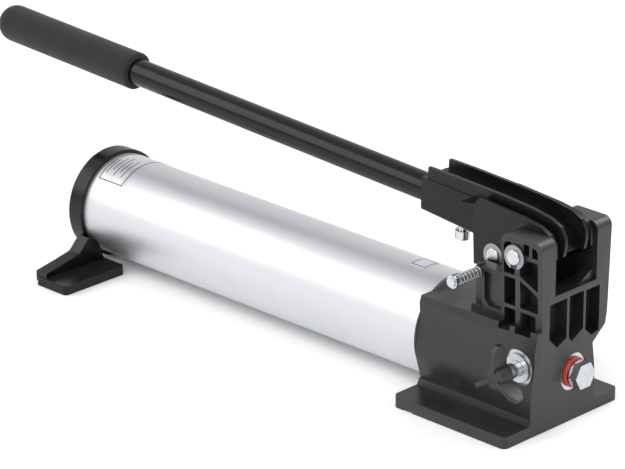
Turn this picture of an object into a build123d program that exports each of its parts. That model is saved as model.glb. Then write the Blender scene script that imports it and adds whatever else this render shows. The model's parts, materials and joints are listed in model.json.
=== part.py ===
"""Two-stage hydraulic hand pump: nylon-clad pump head, tube reservoir, rear cap with feet, lever handle.

Frame: +X runs along the reservoir towards the pump head, +Z is up, the release valve is on the -Y side.
The origin is the middle of the front foot's underside.  Millimetres.
"""
import os
from math import atan2, cos, hypot, radians, sin

from build123d import *

os.makedirs("parts", exist_ok=True)

# ---------------------------------------------------------------- driving dimensions
foot_length = 94.0            # front foot, along X
foot_width = 108.0
foot_thickness = 8.0
block_top = 68.4              # flat top of the head block behind the columns
lever_y = 10.0                # plane of the lever, port and plunger, off the reservoir's axis
tower_top = 127.0             # top of the two columns
tower_depth = 33.0            # columns, front to back
panel_depth = 58.5            # lower side panels, measured from the front face
panel_top = 99.0
slot_half = 19.4              # half width of the gap that the beam swings in
column_half_low = 31.0        # half width over the columns at the block's top
column_half_high = 33.2       # and at their own top
web_top = 89.0                # top of the web between the columns
web_depth = 14.0
inner_walls = (2.6, 6.0)      # nylon left behind the windows, release valve side and far side

tube_outer_radius = 35.0
tube_wall = 2.5
tube_axis_z = tube_outer_radius + 3.9
tube_length = 315.0           # reservoir tube, end to end
spigot_length = 14.0          # how far each end fitting reaches into the tube
seal_section = 3.0            # O-ring cross section in the tube

cap_radius = tube_outer_radius + 2.6  # rear cap's rim around the tube
cap_lap = 7.0                 # how far that rim laps over the tube
cap_back = 6.0                # thickness of the rear cap's back
rear_foot_half = 77.4         # half width over the rear feet
rear_foot_gap = 23.0          # half of the gap between them
rear_foot_depth = 30.0
rear_foot_thickness = 6.5

pin_radius = 5.0              # pivot pin and piston pin
running = 0.05                # radial running clearance
gap = 0.3                     # face to face clearance of moving pieces
pivot_back = 21.3             # pivot pin behind the front face
pivot_height = 113.3
pin_gap = 30.0                # pivot pin to piston pin, along X, lever down
pin_drop = 11.7               # piston pin below the pivot pin, lever down
lever_rise = 2.54             # slope of the lowered lever, degrees
lever_swing = 46.0            # how far the lever can be raised, degrees

cheek_half = 18.9             # half width over the beam's cheeks
cheek_thickness = 3.5
channel_half = 11.0           # half width over the beam's channel
handle_radius = 9.25
handle_wall = 2.0
handle_end = 508.0            # pivot pin to the far end of the grip, along the lever
handle_height = 4.0           # handle's axis above the line through the pivot pin
grip_radius = 13.0
grip_length = 135.5
grip_cover = 6.0              # grip's closed end, beyond the handle tube

piston_radius = 10.0          # low pressure stage
plunger_radius = 5.5          # high pressure stage
port_height = 32.5
port_thread_radius = 8.4
plug_across_flats = 16.0
valve_back = 13.7             # release valve behind the front face
valve_height = 42.6
knob_radius = 21.0
lock_travel = 2.5

# ---------------------------------------------------------------- places that follow from them
front_x = foot_length / 2
rear_face_x = -foot_length / 2
tube_end_x = rear_face_x - tube_length
tube_inner_radius = tube_outer_radius - tube_wall
cap_face_x = tube_end_x - cap_back
pivot_x = front_x - pivot_back
piston_x = pivot_x - pin_gap
piston_z = pivot_height - pin_drop
lever_arm = hypot(pin_gap, pin_drop)
start_angle = atan2(pin_drop, pin_gap)
plunger_x = pivot_x - (lever_arm + pin_gap) / 2
valve_x = front_x - valve_back


def from_front(distance):
    """X of a point that lies this far behind the front face."""
    return front_x - distance


def front_plane(distance=0.0):
    """Plane across the pump, this far behind the front face: local x is Y, local y is Z, normal +X."""
    return Plane.YZ.offset(from_front(distance))


def side_plane(y):
    """Plane along the pump: local x is X, local y is Z, normal -Y."""
    return Plane(origin=(0, y, 0), x_dir=(1, 0, 0), z_dir=(0, -1, 0))


def back_points(pairs):
    """Turn pairs of (behind the front face, height) into points of a side plane."""
    return [(from_front(distance), height) for distance, height in pairs]


slope = radians(lever_rise)


def lever_plane(offset=0.0):
    """Plane through the pivot pin: local x runs back along the lever, local y up, normal +Y."""
    return Plane(origin=(pivot_x, lever_y + offset, pivot_height),
                 x_dir=(-cos(slope), 0, sin(slope)), z_dir=(0, 1, 0))


def lever_point(u, v, y=0.0):
    """Point at u behind the pivot and v above it, in the lever's own directions."""
    return (pivot_x - u * cos(slope) + v * sin(slope), lever_y + y,
            pivot_height + u * sin(slope) + v * cos(slope))


def lever_section(u, v=handle_height):
    """Plane square to the lever at u behind the pivot, centred on height v: local x is -Y."""
    return Plane(origin=lever_point(u, v), x_dir=(0, -1, 0), z_dir=(-cos(slope), 0, sin(slope)))


def outline_face(*corners):
    """Polygon through the corners in counter-clockwise order, so that its normal follows the plane's."""
    ring_of = list(zip(corners, corners[1:] + corners[:1]))
    twice_area = sum(a[0] * b[1] - b[0] * a[1] for a, b in ring_of)
    ordered = corners if twice_area > 0 else corners[::-1]
    return Polygon(*ordered, align=None)


def save(builder, name):
    """Label a finished piece and write it out."""
    builder.part.label = name
    export_step(builder.part, f"parts/{name}.step")


def coil(base, axis, mean_radius, wire, length, turns):
    """Coil spring that stands on a point and runs along an axis."""
    span = length - 2 * wire
    foot = Vector(*base) + Vector(*axis) * wire
    with BuildPart() as body:
        with BuildLine():
            path = Helix(pitch=span / turns, height=span, radius=mean_radius, center=foot, direction=axis)
        with BuildSketch(Plane(origin=path @ 0, z_dir=path % 0)):
            Circle(wire / 2)
        sweep(path=path, is_frenet=True)
    return body.part


# ---------------------------------------------------------------- pump core, clad in the head
core_half = 23.5
core_bottom = 6.0
core_top = 50.0
core_front = 3.0
gland_boss_radius = 15.0
gland_boss_top = 70.0
spot_radius = 12.4
spot_depth = 1.0
valve_face_y = -25.6
valve_boss_depth = 12.0
spigot_radius = tube_inner_radius - 0.2

with BuildPart() as core_form:
    with BuildSketch(front_plane(core_front)):
        with Locations((0, (core_bottom + core_top) / 2)):
            Rectangle(2 * core_half, core_top - core_bottom)
    extrude(amount=-(foot_length - core_front))
    with BuildSketch(front_plane(spot_depth)):
        with Locations((lever_y, port_height)):
            Circle(spot_radius)
    extrude(amount=-core_front)
    with BuildSketch(Plane.XY.offset(core_bottom)):
        with Locations((plunger_x, lever_y)):
            Circle(gland_boss_radius)
    extrude(amount=gland_boss_top - core_bottom)
    with BuildSketch(side_plane(valve_face_y)):
        with Locations((valve_x, valve_height)):
            Circle(spot_radius)
    extrude(amount=-valve_boss_depth)

high_bore_bottom = 9.0
high_seal_bottom = 38.0
high_seal_height = 3.0
low_bore_bottom = 45.0
gland_thread_radius = 13.0
gland_bottom = 60.0
groove_radius = spigot_radius - 2.4
passage_radius = 2.0
drill_radius = 1.5
check_radius = 4.5
check_bottom = core_bottom
check_top = 24.0
inlet_x = plunger_x - 24.0
outlet_x = plunger_x + 19.0
relief_x = plunger_x - 34.5
valve_stem_radius = 5.0
valve_gland_radius = 7.5
valve_gland_inner = -14.0
valve_seat_y = 0.0
ball_radius = 2.5
rod_radius = 4.0
rod_thread = 12.0
suction_radius = 3.5
suction_z = 18.5
drop_y = 5.0
port_depth = 14.0

with BuildPart() as pump_core:
    add(core_form.part)
    with BuildSketch(Plane.YZ.offset(rear_face_x)):
        with Locations((0, tube_axis_z)):
            Circle(spigot_radius)
    extrude(amount=-spigot_length)
    # groove for the front O-ring
    with BuildSketch(Plane.YZ.offset(rear_face_x - (spigot_length - seal_section) / 2)):
        with Locations((0, tube_axis_z)):
            Circle(spigot_radius + 1)
            Circle(groove_radius, mode=Mode.SUBTRACT)
    extrude(amount=-seal_section, mode=Mode.SUBTRACT)
    # stepped pump bore with its gland thread and the high pressure seal's groove
    for bottom, top, radius in ((high_bore_bottom, 90, plunger_radius + running),
                                (low_bore_bottom, 90, piston_radius + running),
                                (gland_bottom, 90, gland_thread_radius),
                                (high_seal_bottom, high_seal_bottom + high_seal_height, plunger_radius + 2)):
        with BuildSketch(Plane.XY.offset(bottom)):
            with Locations((plunger_x, lever_y)):
                Circle(radius)
        extrude(amount=top - bottom, mode=Mode.SUBTRACT)
    # outlet port and the line behind it
    with BuildSketch(front_plane(spot_depth)):
        with Locations((lever_y, port_height)):
            Circle(port_thread_radius)
    extrude(amount=-port_depth, mode=Mode.SUBTRACT)
    with BuildSketch(front_plane(spot_depth)):
        with Locations((lever_y, port_height)):
            Circle(passage_radius)
    extrude(amount=outlet_x - from_front(spot_depth), mode=Mode.SUBTRACT)
    # release valve: gland thread, stem bore, seat and the way down to the port
    for outer_y, inner_y, radius in ((valve_face_y, valve_gland_inner, valve_gland_radius),
                                     (valve_gland_inner, valve_seat_y, valve_stem_radius + running),
                                     (valve_seat_y, drop_y + 0.5, drill_radius)):
        with BuildSketch(side_plane(outer_y)):
            with Locations((valve_x, valve_height)):
                Circle(radius)
        extrude(amount=outer_y - inner_y, mode=Mode.SUBTRACT)
    with BuildSketch(Plane.XY.offset(port_height)):
        with Locations((valve_x, drop_y)):
            Circle(drill_radius + 0.3)
    extrude(amount=valve_height + 1.5 - port_height, mode=Mode.SUBTRACT)
    # inlet check, outlet check and relief valve, bored from below
    with BuildSketch(Plane.XY.offset(check_bottom)):
        with Locations((inlet_x, lever_y), (outlet_x, lever_y), (relief_x, lever_y)):
            Circle(check_radius)
    extrude(amount=check_top - check_bottom, mode=Mode.SUBTRACT)
    with BuildSketch(Plane.XY.offset(check_top)):
        with Locations((inlet_x, lever_y), (outlet_x, lever_y), (relief_x, lever_y)):
            Circle(drill_radius)
    extrude(amount=port_height - check_top, mode=Mode.SUBTRACT)
    with BuildSketch(Plane.YZ.offset(relief_x)):
        with Locations((lever_y, port_height)):
            Circle(passage_radius)
    extrude(amount=plunger_x - relief_x, mode=Mode.SUBTRACT)
    # tie rod's thread and the suction bore in the end of the spigot
    with BuildSketch(Plane.YZ.offset(rear_face_x - spigot_length)):
        with Locations((0, tube_axis_z)):
            Circle(rod_radius)
    extrude(amount=rod_thread, mode=Mode.SUBTRACT)
    with BuildSketch(Plane.YZ.offset(rear_face_x - spigot_length)):
        with Locations((0, suction_z)):
            Circle(suction_radius)
    extrude(amount=spigot_length + 6, mode=Mode.SUBTRACT)
save(pump_core, "pump_core")

# ---------------------------------------------------------------- head cladding: foot, block and columns
foot_corner = 4.0
block_front = [(30.3, 7.5), (30.3, 20.0), (29.7, 32.0), (28.0, 44.0), (27.7, 55.0), (26.0, 62.0),
               (25.0, block_top)]
block_rear = [(28.3, 7.5), (31.1, 21.0), (33.8, 32.0), (32.7, 44.0), (29.8, 57.0), (30.2, 64.0),
              (28.6, block_top)]
far_shoulder = [(20.0, 46.5), (27.0, 46.5), (39.2, 56.5), (40.6, 64.0), (41.0, 70.0)]
near_shoulder = [(-27.0, 52.0), (-24.0, 60.0), (-21.2, 66.0), (-21.0, 70.0)]


def block_outline(points):
    """Closed outline across the block, the same on both sides."""
    left = [(-y, z) for y, z in reversed(points)]
    with BuildLine() as outline:
        Spline(*points[:5])
        Polyline(*points[4:], *left[:3])
        Spline(*left[2:])
        Line(left[-1], points[0])
    return outline.line


with BuildPart() as block:
    with BuildSketch(front_plane()):
        add(block_outline(block_front))
        make_face()
    with BuildSketch(front_plane(foot_length)):
        add(block_outline(block_rear))
        make_face()
    loft(ruled=True)

far_top = lever_y + column_half_high
near_top = lever_y - column_half_high
column_sections = [
    [*far_shoulder, (far_top, tower_top), (lever_y + slot_half, tower_top), (lever_y + slot_half, 60.0),
     (20.0, 60.0)],
    [*near_shoulder, (near_top, tower_top), (lever_y - slot_half, tower_top), (lever_y - slot_half, 52.0)],
]
column_solids = []
for section in column_sections:
    with BuildPart() as column:
        with BuildSketch(front_plane()):
            outline_face(*section)
        extrude(amount=-panel_depth)
        with BuildSketch(side_plane(foot_width)):
            outline_face(*back_points([(tower_depth, panel_top), (tower_depth, tower_top + 9),
                                       (panel_depth + 9, tower_top + 9), (panel_depth + 9, panel_top)]))
        extrude(amount=2 * foot_width, mode=Mode.SUBTRACT)
        fillet(column.edges().filter_by(Axis.Y).filter_by(lambda e: e.center().Z > tower_top - 0.1), 6.0)
        fillet(column.edges().filter_by(Axis.Y).filter_by(
            lambda e: abs(e.center().Z - panel_top) < 0.1 and e.center().X < from_front(panel_depth) + 0.1), 4.0)
    column_solids.append(column.part)

# windows of the columns' lattice: outlines of (behind the front face, height)
windows = [
    [(10.5, 116.0), (15.0, 116.0), (15.0, 123.5), (10.5, 123.5)],
    [(3.5, 115.8), (8.0, 115.8), (8.0, 122.5), (5.5, 122.5), (3.5, 120.5)],
    [(3.5, 94.0), (18.0, 101.0), (18.0, 106.0), (12.0, 113.0), (3.5, 113.0)],
    [(3.5, 79.6), (18.0, 79.6), (18.0, 98.0), (3.5, 91.0)],
    [(22.0, 79.6), (31.0, 79.6), (31.0, 98.0), (22.0, 98.0)],
    [(22.0, 64.5), (31.0, 64.5), (31.0, 77.0), (22.0, 77.0)],
    [(5.5, 64.5), (18.0, 64.5), (18.0, 77.0), (5.5, 77.0)],
]
front_pockets = [
    [(-14.2, 61.5), (-6.8, 53.9), (2.2, 58.0), (2.2, 84.5), (-14.2, 84.5)],
    [(4.4, 57.4), (7.2, 53.9), (17.8, 59.8), (17.8, 85.0), (4.4, 85.0)],
    [(20.0, 58.0), (26.0, 52.6), (33.0, 54.0), (33.0, 84.5), (20.0, 84.5)],
]
front_pocket_depth = 8.5
arch_back = 26.8
arch_half = 4.4
boss_radius = 8.2
boss_half = column_half_high + 0.4
lock_back = 53.8
lock_height = 93.5
lock_radius = 2.5
lock_boss_y = -20.4
lock_clip_radius = 3.3
lock_clip_thickness = 0.8
lock_pin_inner = -13.2
relief_radius = 9.4
relief_half = 23.0

with BuildPart() as pump_head:
    # foot with its raised strip along the block
    with BuildSketch():
        Rectangle(foot_length, foot_width)
    extrude(amount=foot_thickness)
    fillet(pump_head.edges().filter_by(Axis.Z), foot_corner)
    with BuildSketch(Plane.XY.offset(foot_thickness)):
        Rectangle(foot_length, 63.4)
    extrude(amount=4.4, taper=12)
    add(block.part)
    for column_solid in column_solids:
        add(column_solid)
    # web between the columns
    with BuildSketch(front_plane()):
        with Locations((lever_y, (web_top + 60) / 2)):
            Rectangle(2 * slot_half + 2, web_top - 60)
    extrude(amount=-web_depth)
    # slanted rib from the web to the far column
    with BuildSketch(front_plane(2.5)):
        outline_face((lever_y + slot_half + 0.5, web_top - 2), (lever_y + slot_half + 0.5, web_top + 6.5),
                     (lever_y + slot_half - 3, web_top + 6.5), (lever_y + 2, web_top - 2))
    extrude(amount=-7)
    # pin bosses
    for side in (-1, 1):
        with BuildSketch(side_plane(lever_y + side * (slot_half + 1))):
            with Locations((pivot_x, pivot_height)):
                Circle(boss_radius)
        extrude(amount=-side * (boss_half - slot_half - 1))
    # windows in both columns, with a thin inner wall left
    for outline in windows:
        for side, inner_wall in zip((-1, 1), inner_walls):
            with BuildSketch(side_plane(lever_y + side * (slot_half + inner_wall))):
                outline_face(*back_points(outline))
            extrude(amount=-side * 40, mode=Mode.SUBTRACT)
    # arched window in the rear of each column
    for side, inner_wall in zip((-1, 1), inner_walls):
        with BuildSketch(side_plane(lever_y + side * (slot_half + inner_wall))):
            with Locations((from_front(arch_back), 117.5)):
                Circle(arch_half)
            with Locations((from_front(arch_back), 109.0)):
                Rectangle(2 * arch_half, 17.0)
            with Locations((pivot_x, pivot_height)):
                Circle(boss_radius, mode=Mode.SUBTRACT)
        extrude(amount=-side * 40, mode=Mode.SUBTRACT)
    # panels behind the columns: a recess, and a thinner rear part
    for side in (-1, 1):
        with BuildSketch(side_plane(lever_y + side * 28.5)):
            outline_face(*back_points([(33.5, 73.4), (44.0, 73.4), (47.5, 77.0), (47.5, 96.0), (33.5, 96.0)]))
        extrude(amount=-side * 20, mode=Mode.SUBTRACT)
        with BuildSketch(side_plane(lever_y + side * 27.0)):
            outline_face(*back_points([(49.4, block_top + 3), (62, block_top + 3), (62, 101), (49.4, 101)]))
        extrude(amount=-side * 20, mode=Mode.SUBTRACT)
    # pockets with pointed bottoms in the front face
    for outline in front_pockets:
        with BuildSketch(front_plane()):
            outline_face(*outline)
        extrude(amount=-front_pocket_depth, mode=Mode.SUBTRACT)
    # boss of the lock pin
    with BuildSketch(side_plane(lever_y - slot_half - 1)):
        with Locations((from_front(lock_back), lock_height)):
            Circle(4.0)
    extrude(amount=lever_y - slot_half - 1 - lock_boss_y)
    # holes: pivot pin, lock pin with its clip's counterbore, room for the piston pin's ends
    with BuildSketch(side_plane(lever_y)):
        with Locations((pivot_x, pivot_height)):
            Circle(pin_radius)
    extrude(amount=60, both=True, mode=Mode.SUBTRACT)
    with BuildSketch(side_plane(lever_y - 10)):
        with Locations((from_front(lock_back), lock_height)):
            Circle(lock_radius + running)
    extrude(amount=40, mode=Mode.SUBTRACT)
    with BuildSketch(side_plane(lever_y - 10)):
        with Locations((from_front(lock_back), lock_height)):
            Circle(lock_clip_radius + gap)
    extrude(amount=-(lock_pin_inner - 0.2 - lock_clip_thickness - gap), mode=Mode.SUBTRACT)
    with BuildSketch(side_plane(lever_y)):
        with Locations((piston_x, piston_z)):
            Circle(relief_radius)
        with Locations((piston_x, piston_z + 10)):
            Rectangle(2 * relief_radius, 20)
    extrude(amount=relief_half, both=True, mode=Mode.SUBTRACT)
    # room for the core, the spot faces and a shallow slot under the foot
    add(core_form.part, mode=Mode.SUBTRACT)
    with BuildSketch(front_plane()):
        with Locations((lever_y, port_height)):
            Circle(spot_radius)
    extrude(amount=-spot_depth, mode=Mode.SUBTRACT)
    with BuildSketch(side_plane(valve_face_y)):
        with Locations((valve_x, valve_height)):
            Circle(spot_radius)
    extrude(amount=20, mode=Mode.SUBTRACT)
    with BuildSketch(Plane.XY.offset(block_top)):
        with Locations((plunger_x, lever_y)):
            Circle(gland_boss_radius + 1.5)
    extrude(amount=24, mode=Mode.SUBTRACT)
    with BuildSketch(front_plane(foot_length - 9)):
        with Locations((0, 0.4)):
            Rectangle(foot_width, 0.8)
    extrude(amount=8, mode=Mode.SUBTRACT)
save(pump_head, "pump_head")

# ---------------------------------------------------------------- reservoir
with BuildPart() as reservoir_tube:
    with BuildSketch(Plane.YZ.offset(rear_face_x)):
        with Locations((0, tube_axis_z)):
            Circle(tube_outer_radius)
            Circle(tube_inner_radius, mode=Mode.SUBTRACT)
    extrude(amount=-tube_length)
save(reservoir_tube, "reservoir_tube")

front_groove_x = rear_face_x - (spigot_length - seal_section) / 2
rear_groove_x = tube_end_x + (spigot_length - 4 - seal_section) / 2
seal_squash = 0.15
with BuildPart() as tank_seals:
    for x in (front_groove_x, rear_groove_x + seal_section):
        with BuildSketch(Plane.YZ.offset(x - seal_squash)):
            with Locations((0, tube_axis_z)):
                Circle(tube_inner_radius)
                Circle(groove_radius, mode=Mode.SUBTRACT)
        extrude(amount=-(seal_section - 2 * seal_squash))
    fillet(tank_seals.edges().filter_by(GeomType.CIRCLE), 0.6)
save(tank_seals, "tank_seals")

fill_y = -4.0
fill_z = 62.8
fill_thread = 5.0
gusset_front = tube_end_x + 14.5
gusset_rear = tube_end_x + 4.5
foot_front_x = tube_end_x + 34.3
gusset_outline = [(22.0, 3.0), (rear_foot_half - 0.6, 3.0), (rear_foot_half - 0.6, 10.0), (60.0, 13.0),
                  (46.5, 15.8), (41.5, 21.0), (37.5, 25.0), (30.0, 22.0)]
with BuildPart() as rear_cap:
    with BuildSketch(Plane.YZ.offset(cap_face_x)):
        with Locations((0, tube_axis_z)):
            Circle(cap_radius)
    extrude(amount=cap_back + cap_lap)
    fillet(rear_cap.edges().filter_by(GeomType.CIRCLE).sort_by(Axis.X)[0], 2.0)
    # feet and the gussets that carry them
    for side in (-1, 1):
        with BuildSketch():
            with Locations(((foot_front_x + gusset_rear) / 2, side * (rear_foot_half + rear_foot_gap) / 2)):
                RectangleRounded(rear_foot_depth, rear_foot_half - rear_foot_gap, 3.0)
        extrude(amount=rear_foot_thickness)
        with BuildSketch(Plane.YZ.offset(gusset_rear)):
            outline_face(*[(side * y, z) for y, z in gusset_outline])
        extrude(amount=gusset_front - gusset_rear)
    with BuildSketch(Plane.YZ.offset(tube_end_x)):
        with Locations((0, tube_axis_z)):
            Circle(tube_outer_radius + running)
    extrude(amount=60, mode=Mode.SUBTRACT)
    # spigot inside the tube
    with BuildSketch(Plane.YZ.offset(tube_end_x)):
        with Locations((0, tube_axis_z)):
            Circle(spigot_radius)
            Circle(tube_inner_radius - 5.0, mode=Mode.SUBTRACT)
    extrude(amount=spigot_length - 4)
    with BuildSketch(Plane.YZ.offset(rear_groove_x)):
        with Locations((0, tube_axis_z)):
            Circle(spigot_radius + 1)
            Circle(groove_radius, mode=Mode.SUBTRACT)
    extrude(amount=seal_section, mode=Mode.SUBTRACT)
    # holes of the tie rod and the fill plug
    with BuildSketch(Plane.YZ.offset(cap_face_x)):
        with Locations((0, tube_axis_z)):
            Circle(rod_radius + 0.2)
        with Locations((fill_y, fill_z)):
            Circle(fill_thread + running)
    extrude(amount=cap_back + 0.1, mode=Mode.SUBTRACT)
save(rear_cap, "rear_cap")

washer_thickness = 1.5
nut_thickness = 6.5
nut_across_flats = 13.0
rod_front_x = rear_face_x - spigot_length + rod_thread
rod_end_x = cap_face_x - washer_thickness - nut_thickness - 2.5
with BuildPart() as tie_rod:
    with BuildSketch(Plane.YZ.offset(rod_front_x)):
        with Locations((0, tube_axis_z)):
            Circle(rod_radius)
    extrude(amount=rod_end_x - rod_front_x)
    chamfer(tie_rod.edges().filter_by(GeomType.CIRCLE), 0.6)
save(tie_rod, "tie_rod")

with BuildPart() as tie_rod_washer:
    with BuildSketch(Plane.YZ.offset(cap_face_x)):
        with Locations((0, tube_axis_z)):
            Circle(8.5)
            Circle(rod_radius, mode=Mode.SUBTRACT)
    extrude(amount=-washer_thickness)
save(tie_rod_washer, "tie_rod_washer")

with BuildPart() as tie_rod_nut:
    with BuildSketch(Plane.YZ.offset(cap_face_x - washer_thickness)):
        with Locations((0, tube_axis_z)):
            RegularPolygon(nut_across_flats / 2, 6, major_radius=False)
            Circle(rod_radius, mode=Mode.SUBTRACT)
    extrude(amount=-nut_thickness)
save(tie_rod_nut, "tie_rod_nut")

fill_head_radius = 7.2
fill_seal = 1.6
fill_head_x = cap_face_x - gap - fill_seal
with BuildPart() as fill_plug:
    with BuildSketch(Plane.YZ.offset(fill_head_x)):
        with Locations((fill_y, fill_z)):
            Circle(fill_head_radius)
    extrude(amount=-5.0)
    with BuildSketch(Plane.YZ.offset(fill_head_x - 5.0)):
        with Locations((fill_y, fill_z)):
            Circle(5.6)
    extrude(amount=-5.0)
    chamfer(fill_plug.edges().filter_by(GeomType.CIRCLE).sort_by(Axis.X)[0], 0.8)
    with BuildSketch(Plane.YZ.offset(fill_head_x)):
        with Locations((fill_y, fill_z)):
            Circle(fill_thread)
    extrude(amount=fill_seal + gap + cap_back - 0.3)
    with BuildSketch(Plane.YZ.offset(fill_head_x - 10.0)):
        with Locations((fill_y, fill_z)):
            Rectangle(1.6, 20)
    extrude(amount=1.6, mode=Mode.SUBTRACT)
save(fill_plug, "fill_plug")

with BuildPart() as fill_plug_seal:
    with BuildSketch(Plane.YZ.offset(fill_head_x)):
        with Locations((fill_y, fill_z)):
            Circle(fill_head_radius - 0.4)
            Circle(fill_thread, mode=Mode.SUBTRACT)
    extrude(amount=fill_seal)
save(fill_plug_seal, "fill_plug_seal")

suction_length = 60.0
suction_end_x = rear_face_x - spigot_length
with BuildPart() as suction_tube:
    with BuildSketch(Plane.YZ.offset(suction_end_x + 6)):
        with Locations((0, suction_z)):
            Circle(suction_radius)
            Circle(suction_radius - 1.0, mode=Mode.SUBTRACT)
    extrude(amount=-suction_length - 6)
save(suction_tube, "suction_tube")

with BuildPart() as suction_strainer:
    with BuildSketch(Plane.YZ.offset(suction_end_x - suction_length + 6)):
        with Locations((0, suction_z)):
            Circle(suction_radius + 1.2)
            Circle(suction_radius, mode=Mode.SUBTRACT)
    extrude(amount=-22)
    with BuildSketch(Plane.YZ.offset(suction_end_x - suction_length - 16)):
        with Locations((0, suction_z)):
            Circle(suction_radius + 1.2)
    extrude(amount=-1.5)
save(suction_strainer, "suction_strainer")

# ---------------------------------------------------------------- plates on the tube and the head
label_thickness = 0.3


def curved_plate(name, rear_back, front_back, near_angle, far_angle, corner):
    """Thin plate bent round the reservoir: ends behind the front face, sides in degrees from the top."""
    with BuildPart() as plate:
        with BuildSketch(Plane.YZ.offset(from_front(rear_back))):
            with Locations((0, tube_axis_z)):
                Circle(tube_outer_radius + label_thickness)
                Circle(tube_outer_radius, mode=Mode.SUBTRACT)
        extrude(amount=rear_back - front_back)
        reach = 60
        corners = [(0, tube_axis_z)] + [
            (reach * sin(radians(angle)), tube_axis_z + reach * cos(radians(angle)))
            for angle in (-near_angle, (far_angle - near_angle) / 2, far_angle)]
        with BuildSketch(Plane.YZ.offset(from_front(rear_back) - 1)):
            outline_face(*corners)
        extrude(amount=rear_back - front_back + 2, mode=Mode.INTERSECT)
        fillet(plate.edges().filter_by(GeomType.LINE).filter_by(lambda e: e.length < 1), corner)
    save(plate, name)


spec_plate_back = front_x - tube_end_x - 10.0
curved_plate("spec_plate", spec_plate_back, spec_plate_back - 25.5, 46.0, 46.0, 2.5)
curved_plate("head_plate", 126.5, 113.0, 8.5, 16.5, 1.5)

# ---------------------------------------------------------------- lever: beam, handle, pins
flange_top = [(-19.5, -0.5), (-20.6, 6.0), (-20.4, 11.6), (-16.2, 18.4), (-8.0, 21.6), (8.0, 23.6),
              (32.8, 24.4), (74.6, 24.4), (94.5, 23.9)]
floor_line = [(94.5, 15.0), (60.0, 13.5), (20.0, 13.0), (0.0, 11.0), (-10.0, 6.0), (-15.5, -2.0)]
trough_line = [(96.0, 18.5), (60.0, 17.0), (20.0, 16.5), (2.0, 14.6), (-8.5, 9.4), (-14.0, 2.0),
               (-16.5, -6)]
cheek_outline = [(45.7, -23.9), (47.9, 0.0), (47.7, 16.0), (44.7, 20.4), (8.0, 19.4), (-7.0, 17.6),
                 (-14.5, 14.2), (-18.2, 9.0), (-19.3, -0.5), (-9.7, -8.9), (8.1, -13.7), (22.8, -20.3)]
socket_start = 43.5
socket_end = 98.8
socket_half = 11.6
socket_low_front = -9.8
socket_low_rear = -7.0
socket_round = 3.0
handle_start = socket_start + 6.0
pin_u = pin_gap * cos(slope) - pin_drop * sin(slope)
pin_v = -pin_drop * cos(slope) - pin_gap * sin(slope)
bush_radius = 6.5
sleeve_radius = 9.0
screw_u = 72.5
screw_radius = 3.0

with BuildPart() as beam:
    # two cheeks
    for side in (-1, 1):
        inner = side * (cheek_half - cheek_thickness)
        with BuildSketch(lever_plane(inner)):
            outline_face(*cheek_outline)
        extrude(amount=side * cheek_thickness)
    # channel along the top, its floor reaching out to the cheeks
    with BuildSketch(lever_plane()):
        outline_face(*flange_top, *floor_line)
    extrude(amount=channel_half, both=True)
    with BuildSketch(lever_plane()):
        outline_face(*floor_line[1:5], (-10.5, 9.0), (0.0, 14.0), (20.0, 16.0), (47.0, 16.0))
    extrude(amount=cheek_half - 0.5, both=True)
    # socket of the handle and the wall that ties it to the cheeks
    with BuildSketch(lever_plane()):
        outline_face((socket_start, socket_low_front), (socket_end, socket_low_rear), (socket_end, 16.0),
                     (socket_start, 16.0))
    extrude(amount=socket_half, both=True)
    low_edges = beam.edges().filter_by(GeomType.LINE).filter_by(
        lambda e: e.length > 40 and abs(abs(e.center().Y - lever_y) - socket_half) < 0.1)
    fillet(low_edges.sort_by(Axis.Z)[:2], socket_round)
    with BuildSketch(lever_plane()):
        outline_face((socket_start, -21.0), (45.9, -21.0), (47.9, 0.0), (47.7, 15.5), (socket_start, 15.5))
    extrude(amount=cheek_half - 0.5, both=True)
    # sleeve between the cheeks around the pivot pin
    with BuildSketch(lever_plane()):
        Circle(sleeve_radius)
    extrude(amount=cheek_half - 0.5, both=True)
    # trough
    with BuildSketch(lever_plane()):
        outline_face(*trough_line, (-30, -6), (-30, 40), (100, 40), (100, 18.5))
    extrude(amount=channel_half - 2.6, both=True, mode=Mode.SUBTRACT)
    # bores: pivot bushes, piston pin, handle and its screw
    with BuildSketch(lever_plane()):
        Circle(bush_radius)
        with Locations((pin_u, pin_v)):
            Circle(pin_radius)
    extrude(amount=30, both=True, mode=Mode.SUBTRACT)
    with BuildSketch(lever_section(handle_start)):
        Circle(handle_radius)
    extrude(amount=80, mode=Mode.SUBTRACT)
    with BuildSketch(Plane(origin=lever_point(screw_u, -30), x_dir=(0, 1, 0),
                           z_dir=(sin(slope), 0, cos(slope)))):
        Circle(screw_radius)
    extrude(amount=28, mode=Mode.SUBTRACT)
save(beam, "beam")

with BuildPart() as pivot_bushes:
    for side in (-1, 1):
        with BuildSketch(lever_plane(side * (cheek_half - 9.0))):
            Circle(bush_radius)
            Circle(pin_radius + running, mode=Mode.SUBTRACT)
        extrude(amount=side * 9.0)
save(pivot_bushes, "pivot_bushes")

handle_length = handle_end - handle_start - grip_cover
with BuildPart() as handle_tube:
    with BuildSketch(lever_section(handle_start)):
        Circle(handle_radius)
        Circle(handle_radius - handle_wall, mode=Mode.SUBTRACT)
    extrude(amount=handle_length)
    with BuildSketch(Plane(origin=lever_point(screw_u, -30), x_dir=(0, 1, 0),
                           z_dir=(sin(slope), 0, cos(slope)))):
        Circle(screw_radius)
    extrude(amount=30, mode=Mode.SUBTRACT)
save(handle_tube, "handle_tube")

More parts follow.
